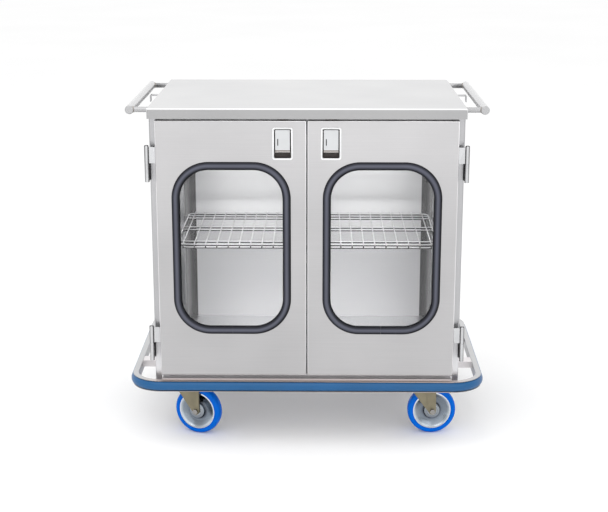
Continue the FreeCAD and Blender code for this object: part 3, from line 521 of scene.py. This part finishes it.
def makePaddle(side, look):
    name = side + "_latch_paddle"
    low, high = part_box(name)
    middle = (low.x + high.x) / 2
    squeeze = 1 - 2 * look["sideGap"] / (high.x - low.x)
    mesh = weldedCopy(name)
    for vert in mesh.vertices:
        vert.co.x = middle + (vert.co.x - middle) * squeeze
    smoothMesh(mesh, 30.0)
    piece = addObject(name + "_skin", mesh, "paddleMetal")
    evenShading(piece)
    settle(piece, side + "_paddle", name)


for side in sides:
    makePaddle(side, paddleLook)
print("paddles hung")


# window gaskets: one domed extrusion bent round each window, its ends butted at the bottom
gasketLook = {
    "band": 24 * mm,
    "proud": 6.5 * mm,
    "corner": 85 * mm,
    "sheet": 1.5 * mm,
    "glass": 5 * mm,
    "back": 8 * mm,
    "domeSteps": 18,
    "domePower": 2.1,
    "footShare": 0.86,
    "cornerSteps": 20,
    "buttGap": 0.5 * mm,
}


def gasketOutline(look):
    points = []
    for step in range(look["domeSteps"] + 1):
        t = step / look["domeSteps"]
        lift = (1 - abs(2 * t - 1) ** look["domePower"]) ** 0.5
        points.append((look["band"] * t, -look["proud"] * lift))
    band = look["band"]
    foot = band * look["footShare"]
    points += [(band / 2, 0), (band / 2, look["sheet"]), (foot, look["sheet"]), (foot, look["back"]),
               (0, look["back"]), (0, look["glass"]), (band / 3, look["glass"]), (band / 3, 0)]
    return points


def windowPath(centre, half, corner, steps, gap):
    hubs = [(half.x - corner, -half.y + corner, -90), (half.x - corner, half.y - corner, 0),
            (-half.x + corner, half.y - corner, 90), (-half.x + corner, -half.y + corner, 180)]
    path = [(centre.x + gap / 2, centre.y - half.y, 0, -1)]
    for x, z, start in hubs:
        for step in range(steps + 1):
            angle = math.radians(start + 90 * step / steps)
            nx, nz = math.cos(angle), math.sin(angle)
            path.append((centre.x + x + corner * nx, centre.y + z + corner * nz, nx, nz))
    path.append((centre.x - gap / 2, centre.y - half.y, 0, -1))
    return path


def makeGasket(side, look):
    low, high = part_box(side + "_window_gasket")
    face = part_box(side + "_door_shell")[0].y
    centre = Vector(((low.x + high.x) / 2, (low.z + high.z) / 2))
    half = Vector(((high.x - low.x) / 2 - look["band"], (high.z - low.z) / 2 - look["band"]))
    outline = gasketOutline(look)
    path = windowPath(centre, half, look["corner"], look["cornerSteps"], look["buttGap"])
    count = len(outline)
    verts = [(x + nx * out, face + depth, z + nz * out) for x, z, nx, nz in path for out, depth in outline]
    faces = [tuple(range(count)), tuple(range(len(verts) - count, len(verts)))]
    for ring in range(len(path) - 1):
        for k in range(count):
            n = (k + 1) % count
            a = ring * count
            faces.append((a + k, a + n, a + count + n, a + count + k))
    piece = addObject(side + "_gasket", meshFrom(side + "_gasket", verts, faces, 40.0), "gasketRubber")
    settle(piece, side + "_door", side + "_window_gasket")


for side in sides:
    makeGasket(side, gasketLook)
print("gaskets bent")


# dark strip down the meeting edge of each door, just behind the bend: a dark sheet standing in for the shade in the
# seam
seamShadeLook = {
    "clearance": 0.3 * mm,
    "setBack": 3.5 * mm,
    "depth": 5.5 * mm,
    "endGap": 4 * mm,
    "round": 0.6 * mm,
}


def makeSeamShade(side, sign, look):
    low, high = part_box(side + "_door_shell")
    edge = min(abs(low.x), abs(high.x))
    start = low.y + look["setBack"]
    end = start + look["depth"]
    r = look["round"]
    outline = [(edge, start), (look["clearance"] + r, start)]
    outline += [(look["clearance"], start + r), (look["clearance"], end - r)]
    outline += [(look["clearance"] + r, end), (edge, end)]
    count = len(outline)
    verts = [(sign * x, y, z) for z in (low.z + look["endGap"], high.z - look["endGap"]) for x, y in outline]
    faces = [tuple(range(count)), tuple(range(count, 2 * count))]
    faces += [(k, (k + 1) % count, count + (k + 1) % count, count + k) for k in range(count)]
    piece = addObject(side + "_edge_seal", meshFrom(side + "_edge_seal", verts, faces), "sealRubber")
    settle(piece, side + "_door", None)


for side, sign in sides.items():
    makeSeamShade(side, sign, seamShadeLook)
print("meeting edges sealed")


# caster wheels: poured tyre on a dished core
wheelLook = {
    "tyreSteps": 112,
    "section": 16 * mm,
    "shoulder": 9 * mm,
    "crown": 0.8 * mm,
    "sideGroove": 0.7 * mm,
    "coreLip": 4.5 * mm,
    "webHalf": 5 * mm,
    "bossRadius": 25 * mm,
    "sealRadius": 17 * mm,
    "bore": 6.1 * mm,
    "bowlSteps": 9,
    "halfWidth": 16 * mm,
    "hubProud": 3.1 * mm,
    "grooveInset": 2.2 * mm,
    "grooveHalf": 0.8 * mm,
    "rimInset": 0.8 * mm,
    "rimRound": 0.5 * mm,
    "sealBevel": 1 * mm,
    "sealStep": 1.2 * mm,
    "bossFall": 1.6 * mm,
    "bossRound": 3 * mm,
    "webFillet": 5 * mm,
    "bowlPower": 1.7,
}


def tyreOutline(radius, half, look):
    inner = radius - look["section"]
    r = look["shoulder"]
    tread = radius - look["crown"]
    right = arcPoints((tread - r, half - r), r, 90, 0, 8)
    left = arcPoints((tread - r, -half + r), r, 0, -90, 8)
    groove = inner + look["grooveInset"]
    side = [(inner, half), (groove - look["grooveHalf"], half), (groove, half - look["sideGroove"]),
            (groove + look["grooveHalf"], half)]
    return side + right + [(radius, 0.0)] + left + [(r, -w) for r, w in reversed(side)]


def coreOutline(rim, half, hub, bore, look):
    lip = rim - look["coreLip"]
    edge = half - look["rimInset"]
    seal, boss, web = look["sealRadius"], look["bossRadius"], look["webHalf"]
    bevel, turn, fillet = look["sealBevel"], look["bossRound"], look["webFillet"]
    side = [(bore, hub), (seal - bevel, hub), (seal, hub - look["sealStep"]), (boss - turn, hub - look["bossFall"]),
            (boss - bevel, hub - turn), (boss, web + turn)]
    side += arcPoints((boss + fillet, web + fillet), fillet, 200, 270, 4)
    foot = boss + fillet + bevel
    for step in range(1, look["bowlSteps"] + 1):
        t = step / look["bowlSteps"]
        side.append((foot + (lip - foot) * t, web + (edge - web) * t ** look["bowlPower"]))
    side += [(rim - look["rimRound"], edge), (rim, edge - look["rimRound"])]
    return side + [(r, -w) for r, w in reversed(side)]


def makeWheel(name, look):
    joint = jointNamed[name + "_wheel_roll"]
    centre = Vector(joint["pos_m"])
    axis = Vector(joint["axis"])
    low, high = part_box(name + "_tyre")
    radius = (high.z - low.z) / 2
    half = look["halfWidth"]
    hub = half + look["hubProud"]
    tyre = turned(name + "_tyre", tyreOutline(radius, half, look), centre, axis, look["tyreSteps"])
    piece = addObject(name + "_tyre_poured", tyre, "tyreBlue")
    settle(piece, name + "_wheel", name + "_tyre")
    rim = radius - look["section"]
    core = turned(name + "_core", coreOutline(rim, half, hub, look["bore"], look), centre, axis, look["tyreSteps"])
    spread = core.attributes.new("spread", "FLOAT", "POINT")
    for vert, value in zip(core.vertices, spread.data):
        value.value = ((vert.co - centre).cross(axis.normalized()).length - look["bore"]) / (rim - look["bore"])
    piece = addObject(name + "_core_cast", core, "wheelCore")
    settle(piece, name + "_wheel", name + "_core")


for name in casterNames:
    makeWheel(name, wheelLook)
print("wheels turned")


# wire shelf, grown from one bent wire and a few rods
shelfLook = {
    "wireRadius": 2.0 * mm,
    "rodRadius": 3.2 * mm,
    "wireCount": 23,
    "nose": 6.0 * mm,
    "cornerRadius": 18.0 * mm,
    "drop": 8.0 * mm,
    "frontPair": 38.0 * mm,
    "middlePair": 35.0 * mm,
    "backPitch": 33.0 * mm,
    "weld": 0.5 * mm,
}


def groupInput(tree, name, kind, value):
    socket = tree.interface.new_socket(name=name, in_out="INPUT", socket_type=kind)
    socket.default_value = value
    return socket.identifier


def node(tree, kind, **values):
    made = tree.nodes.new(kind)
    for key, value in values.items():
        setattr(made, key, value)
    return made


def shelfTree(finish):
    tree = bpy.data.node_groups.new("wireShelf", "GeometryNodeTree")
    tree.interface.new_socket(name="Geometry", in_out="INPUT", socket_type="NodeSocketGeometry")
    tree.interface.new_socket(name="Geometry", in_out="OUTPUT", socket_type="NodeSocketGeometry")
    ids = {key: groupInput(tree, key, "NodeSocketFloat", 0.0)
           for key in ("wireRadius", "rodRadius", "nose", "cornerRadius", "width", "depth", "rodZ", "middleY")}
    ids["wireCount"] = groupInput(tree, "wireCount", "NodeSocketInt", 2)
    ids["wireStart"] = groupInput(tree, "wireStart", "NodeSocketVector", (0, 0, 0))
    ids["wireStep"] = groupInput(tree, "wireStep", "NodeSocketVector", (0, 0, 0))
    given = node(tree, "NodeGroupInput")
    link = tree.links.new

    def tube(curve, radiusName, resolution):
        circle = node(tree, "GeometryNodeCurvePrimitiveCircle")
        circle.inputs["Resolution"].default_value = resolution
        link(given.outputs[radiusName], circle.inputs["Radius"])
        sweep = node(tree, "GeometryNodeCurveToMesh")
        sweep.inputs["Fill Caps"].default_value = True
        link(curve, sweep.inputs["Curve"])
        link(circle.outputs["Curve"], sweep.inputs["Profile Curve"])
        return sweep.outputs["Mesh"]

    def rounded(curve, radiusName, count):
        fillet = node(tree, "GeometryNodeFilletCurve")
        if "Mode" in fillet.inputs:
            fillet.inputs["Mode"].default_value = "Poly"
        else:
            fillet.mode = "POLY"
        fillet.inputs["Count"].default_value = count
        link(curve, fillet.inputs["Curve"])
        link(given.outputs[radiusName], fillet.inputs["Radius"])
        return fillet.outputs["Curve"]

    path = node(tree, "GeometryNodeMeshToCurve")  # the drawn wire and rods come in as edges
    link(given.outputs["Geometry"], path.inputs["Mesh"])
    split = node(tree, "GeometryNodeSeparateGeometry", domain="CURVE")
    rank = node(tree, "GeometryNodeInputIndex")
    first = node(tree, "FunctionNodeCompare", data_type="INT", operation="EQUAL")
    link(rank.outputs["Index"], first.inputs[2])
    link(path.outputs["Curve"], split.inputs["Geometry"])
    link(first.outputs["Result"], split.inputs["Selection"])
    wire = tube(rounded(split.outputs["Selection"], "nose", 5), "wireRadius", 10)
    rods = tube(split.outputs["Inverted"], "rodRadius", 14)
    row = node(tree, "GeometryNodeMeshLine")
    link(given.outputs["wireCount"], row.inputs["Count"])
    link(given.outputs["wireStart"], row.inputs["Start Location"])
    link(given.outputs["wireStep"], row.inputs["Offset"])
    copies = node(tree, "GeometryNodeInstanceOnPoints")
    link(row.outputs["Mesh"], copies.inputs["Points"])
    link(wire, copies.inputs["Instance"])
    loop = node(tree, "GeometryNodeCurvePrimitiveQuadrilateral")
    link(given.outputs["width"], loop.inputs["Width"])
    link(given.outputs["depth"], loop.inputs["Height"])
    place = node(tree, "ShaderNodeCombineXYZ")
    link(given.outputs["middleY"], place.inputs["Y"])
    link(given.outputs["rodZ"], place.inputs["Z"])
    shift = node(tree, "GeometryNodeTransform")
    link(tube(rounded(loop.outputs["Curve"], "cornerRadius", 8), "rodRadius", 14), shift.inputs["Geometry"])
    link(place.outputs["Vector"], shift.inputs["Translation"])
    joined = node(tree, "GeometryNodeJoinGeometry")
    for part in (rods, shift.outputs["Geometry"], copies.outputs["Instances"]):
        link(part, joined.inputs["Geometry"])
    real = node(tree, "GeometryNodeRealizeInstances")
    link(joined.outputs["Geometry"], real.inputs["Geometry"])
    smooth = node(tree, "GeometryNodeSetShadeSmooth")
    link(real.outputs["Geometry"], smooth.inputs["Geometry"])
    paint = node(tree, "GeometryNodeSetMaterial")
    paint.inputs["Material"].default_value = finishes[finish]
    link(smooth.outputs["Geometry"], paint.inputs["Geometry"])
    result = node(tree, "NodeGroupOutput")
    link(paint.outputs["Geometry"], result.inputs["Geometry"])
    return tree, ids


def growMesh(name, seed, tree, ids, values, finish):
    grower = bpy.data.objects.new(name + "_seed", seed)
    scene.collection.objects.link(grower)
    modifier = grower.modifiers.new("grow", "NODES")
    modifier.node_group = tree
    for key, value in values.items():
        modifier[ids[key]] = value
    depsgraph = bpy.context.evaluated_depsgraph_get()
    mesh = bpy.data.meshes.new_from_object(grower.evaluated_get(depsgraph))
    grower.modifiers.remove(modifier)
    bpy.data.objects.remove(grower)
    smoothMesh(mesh, 45.0)
    return addObject(name, mesh, finish)


def makeShelf(look):
    low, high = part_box("wire_shelf")
    wire, rod = look["wireRadius"], look["rodRadius"]
    topZ = high.z - wire
    rodZ = topZ - wire - rod + look["weld"]
    frontY = low.y + wire + look["nose"]
    backY = high.y - look["nose"]
    reach = high.x - rod
    inner = high.x - 2 * rod - look["cornerRadius"]
    middle = (frontY + backY) / 2
    noseY = frontY - look["nose"]
    lowRodY = noseY + wire + rod - look["weld"]
    verts = [(0, noseY, topZ - look["drop"] - look["nose"]), (0, noseY, topZ), (0, backY + look["nose"], topZ)]
    edges = [(0, 1), (1, 2)]
    rodLines = [(frontY + look["frontPair"], rodZ, reach), (middle - look["middlePair"] / 2, rodZ, reach),
                (middle + look["middlePair"] / 2, rodZ, reach), (backY - 2 * look["backPitch"], rodZ, reach),
                (backY - look["backPitch"], rodZ, reach),
                (lowRodY, rodZ - look["drop"], inner + wire)]
    for y, z, half in rodLines:
        edges.append((len(verts), len(verts) + 1))
        verts += [(-half, y, z), (half, y, z)]
    seed = bpy.data.meshes.new("shelfLines")
    seed.from_pydata(verts, edges, [])
    tree, ids = shelfTree("shelfChrome")
    values = {
        "wireRadius": wire, "rodRadius": rod, "nose": look["nose"], "cornerRadius": look["cornerRadius"],
        "width": 2 * reach, "depth": backY - frontY, "rodZ": rodZ, "middleY": middle,
        "wireCount": look["wireCount"], "wireStart": (-inner, 0, 0),
        "wireStep": (2 * inner / (look["wireCount"] - 1), 0, 0),
    }
    piece = growMesh("shelf_wires", seed, tree, ids, values, "shelfChrome")
    settle(piece, "cabinet", "wire_shelf")
    print("shelf grown:", len(piece.data.polygons), "faces")


makeShelf(shelfLook)


# weld beads round the handle legs, at the grip tube and at the fascia
weldLook = {
    "legRadius": 8.0 * mm,
    "gripRadius": 12.7 * mm,
    "legInset": 12.0 * mm,
    "bead": 1.5 * mm,
    "ripple": 0.3,
    "points": 36,
    "seed": 7,
}


def weldTree(finish):
    tree = bpy.data.node_groups.new("handleWelds", "GeometryNodeTree")
    tree.interface.new_socket(name="Geometry", in_out="INPUT", socket_type="NodeSocketGeometry")
    tree.interface.new_socket(name="Geometry", in_out="OUTPUT", socket_type="NodeSocketGeometry")
    ids = {"bead": groupInput(tree, "bead", "NodeSocketFloat", 0.0),
           "thin": groupInput(tree, "thin", "NodeSocketFloat", 1.0),
           "seed": groupInput(tree, "seed", "NodeSocketInt", 0)}
    given = node(tree, "NodeGroupInput")
    link = tree.links.new
    path = node(tree, "GeometryNodeMeshToCurve")
    link(given.outputs["Geometry"], path.inputs["Mesh"])
    ripple = node(tree, "FunctionNodeRandomValue", data_type="FLOAT")
    link(given.outputs["thin"], ripple.inputs[2])
    ripple.inputs[3].default_value = 1.0
    link(given.outputs["seed"], ripple.inputs["Seed"])
    swell = node(tree, "GeometryNodeSetCurveRadius")
    link(path.outputs["Curve"], swell.inputs["Curve"])
    link(ripple.outputs[1], swell.inputs["Radius"])
    circle = node(tree, "GeometryNodeCurvePrimitiveCircle")
    circle.inputs["Resolution"].default_value = 8
    link(given.outputs["bead"], circle.inputs["Radius"])
    sweep = node(tree, "GeometryNodeCurveToMesh")
    link(swell.outputs["Curve"], sweep.inputs["Curve"])
    link(circle.outputs["Curve"], sweep.inputs["Profile Curve"])
    real = node(tree, "GeometryNodeRealizeInstances")
    link(sweep.outputs["Mesh"], real.inputs["Geometry"])
    paint = node(tree, "GeometryNodeSetMaterial")
    paint.inputs["Material"].default_value = finishes[finish]
    link(real.outputs["Geometry"], paint.inputs["Geometry"])
    result = node(tree, "NodeGroupOutput")
    link(paint.outputs["Geometry"], result.inputs["Geometry"])
    return tree, ids


def makeWelds(side, sign, tree, ids, look):
    low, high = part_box(side + "_push_handle")
    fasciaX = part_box("top_panel")[1].x
    gripX = max(abs(low.x), abs(high.x)) - look["gripRadius"]
    gripZ = (low.z + high.z) / 2
    verts = []
    edges = []
    for legY in (low.y + look["legInset"], high.y - look["legInset"]):
        for atFascia in (True, False):
            first = len(verts)
            for k in range(look["points"]):
                angle = 2 * math.pi * k / look["points"]
                across, rise = look["legRadius"] * math.cos(angle), look["legRadius"] * math.sin(angle)
                saddle = gripX - math.sqrt(look["gripRadius"] ** 2 - rise ** 2)
                verts.append((sign * (fasciaX if atFascia else saddle), legY + across, gripZ + rise))
                edges.append((first + k, first + (k + 1) % look["points"]))
    seed = bpy.data.meshes.new(side + "WeldLines")
    seed.from_pydata(verts, edges, [])
    values = {"bead": look["bead"], "thin": 1.0 - look["ripple"], "seed": look["seed"]}
    piece = growMesh(side + "_handle_welds", seed, tree, ids, values, "weldBead")
    settle(piece, "cabinet", None)


weldNodes, weldIds = weldTree("weldBead")
for side, sign in sides.items():
    makeWelds(side, sign, weldNodes, weldIds, weldLook)
print("handles welded")


# stage: pale floor, soft studio light, the photograph's viewpoint
stageLook = {
    "floorSize": 60.0,
    "floorColour": (0.96, 0.96, 0.96),
    "worldLight": 1.03,
    "wallFront": 0.8,
    "wallBack": 1.42,
    "sideCards": 1.2,
}

lampLook = {
    "keySoftbox": {"energy": 60.0, "place": (-1.0, -2.2, 4.6), "size": 4.5, "target": (0, 0, 0.6)},
    "frontSoftbox": {"energy": 42.0, "place": (0.0, -4.6, 2.1), "size": 5.5, "target": (0, 0, 0.5)},
    "fillSoftbox": {"energy": 20.0, "place": (2.8, -3.4, 2.4), "size": 3.0, "target": (0, 0, 0.5)},
    "upperStrip": {"energy": 1.2, "place": (0.0, -0.24, 0.93), "size": (0.70, 0.05), "target": (0, 0.3, 0.45)},
    "lowerStrip": {"energy": 2.0, "place": (0.0, -0.25, 0.24), "size": (0.70, 0.05), "target": (0, 0.3, 0.45),
                   "mirrored": False},  # it would stand in the back wall
}


def makeFloor(look):
    half = look["floorSize"] / 2
    mesh = bpy.data.meshes.new("floor")
    mesh.from_pydata([(-half, -half, 0), (half, -half, 0), (half, half, 0), (-half, half, 0)], [], [(0, 1, 2, 3)])
    floor = bpy.data.objects.new("floor", mesh)
    scene.collection.objects.link(floor)
    material, tree, shader = newMaterial("paleFloor")
    cloud = noiseOf(tree, stretched(tree, (1, 1, 1)), 0.6, 2.0)
    tree.links.new(rampOf(tree, cloud, shade(look["floorColour"], 0.99), shade(look["floorColour"], 1.01)),
                   shader.inputs["Base Color"])
    shader.inputs["Roughness"].default_value = 0.9
    shader.inputs["Specular IOR Level"].default_value = 0.0
    mesh.materials.append(material)


# white to the eye and through glass; reflections see a lit backdrop behind the cart and bright cards beside it
def makeWorld(look):
    world = bpy.data.worlds.new("studio")
    scene.world = world
    world.use_nodes = True
    tree = world.node_tree
    tree.nodes.clear()
    path = tree.nodes.new("ShaderNodeLightPath")
    seen = tree.nodes.new("ShaderNodeMath")
    seen.operation = "MAXIMUM"
    tree.links.new(path.outputs["Is Camera Ray"], seen.inputs[0])
    tree.links.new(path.outputs["Is Transmission Ray"], seen.inputs[1])
    walls = spanOf(tree, axisOf(tree, "Y", False, "Generated"), -0.5, 0.5, look["wallFront"], look["wallBack"])
    cards = spanOf(tree, axisOf(tree, "X", True, "Generated"), 0.80, 0.94, 1.0, look["sideCards"])
    around = tree.nodes.new("ShaderNodeMath")
    around.operation = "MULTIPLY"
    tree.links.new(walls, around.inputs[0])
    tree.links.new(cards, around.inputs[1])
    mirror = tree.nodes.new("ShaderNodeMix")
    mirror.inputs["A"].default_value = look["worldLight"]
    tree.links.new(path.outputs["Is Glossy Ray"], mirror.inputs["Factor"])
    tree.links.new(around.outputs["Value"], mirror.inputs["B"])
    strength = tree.nodes.new("ShaderNodeMix")
    strength.inputs["B"].default_value = 1.0
    tree.links.new(seen.outputs["Value"], strength.inputs["Factor"])
    tree.links.new(mirror.outputs["Result"], strength.inputs["A"])
    background = tree.nodes.new("ShaderNodeBackground")
    background.inputs["Color"].default_value = (1, 1, 1, 1)
    tree.links.new(strength.outputs["Result"], background.inputs["Strength"])
    output = tree.nodes.new("ShaderNodeOutputWorld")
    tree.links.new(background.outputs["Background"], output.inputs["Surface"])


def makeLamp(name, look):
    light = bpy.data.lights.new(name, "AREA")
    light.energy = look["energy"]
    lamp = bpy.data.objects.new(name, light)
    lamp.visible_camera = False
    lamp.visible_glossy = look.get("mirrored", True)
    if isinstance(look["size"], tuple):
        light.shape = "RECTANGLE"
        light.size, light.size_y = look["size"]
    else:
        light.shape = "DISK"
        light.size = look["size"]
    scene.collection.objects.link(lamp)
    lamp.location = look["place"]
    lamp.rotation_euler = (Vector(look["target"]) - Vector(look["place"])).to_track_quat("-Z", "Y").to_euler()


cameraLook = {
    "place": (0.038, -4.161, 1.596),
    "pitch": 14.615,
    "yaw": 0.687,
    "focalPixels": 1353.3,
    "frameWidth": 608,
    "sensor": 36.0,
}


def makeCamera(look):
    lens = bpy.data.cameras.new("photoView")
    lens.sensor_width = look["sensor"]
    lens.lens = look["focalPixels"] * look["sensor"] / look["frameWidth"]
    camera = bpy.data.objects.new("photoView", lens)
    scene.collection.objects.link(camera)
    camera.location = look["place"]
    camera.rotation_euler = (math.radians(90 - look["pitch"]), 0, math.radians(look["yaw"]))
    scene.camera = camera


makeFloor(stageLook)
makeWorld(stageLook)
for name, look in lampLook.items():
    makeLamp(name, look)
makeCamera(cameraLook)
scene.view_settings.view_transform = "Standard"
print("stage set")
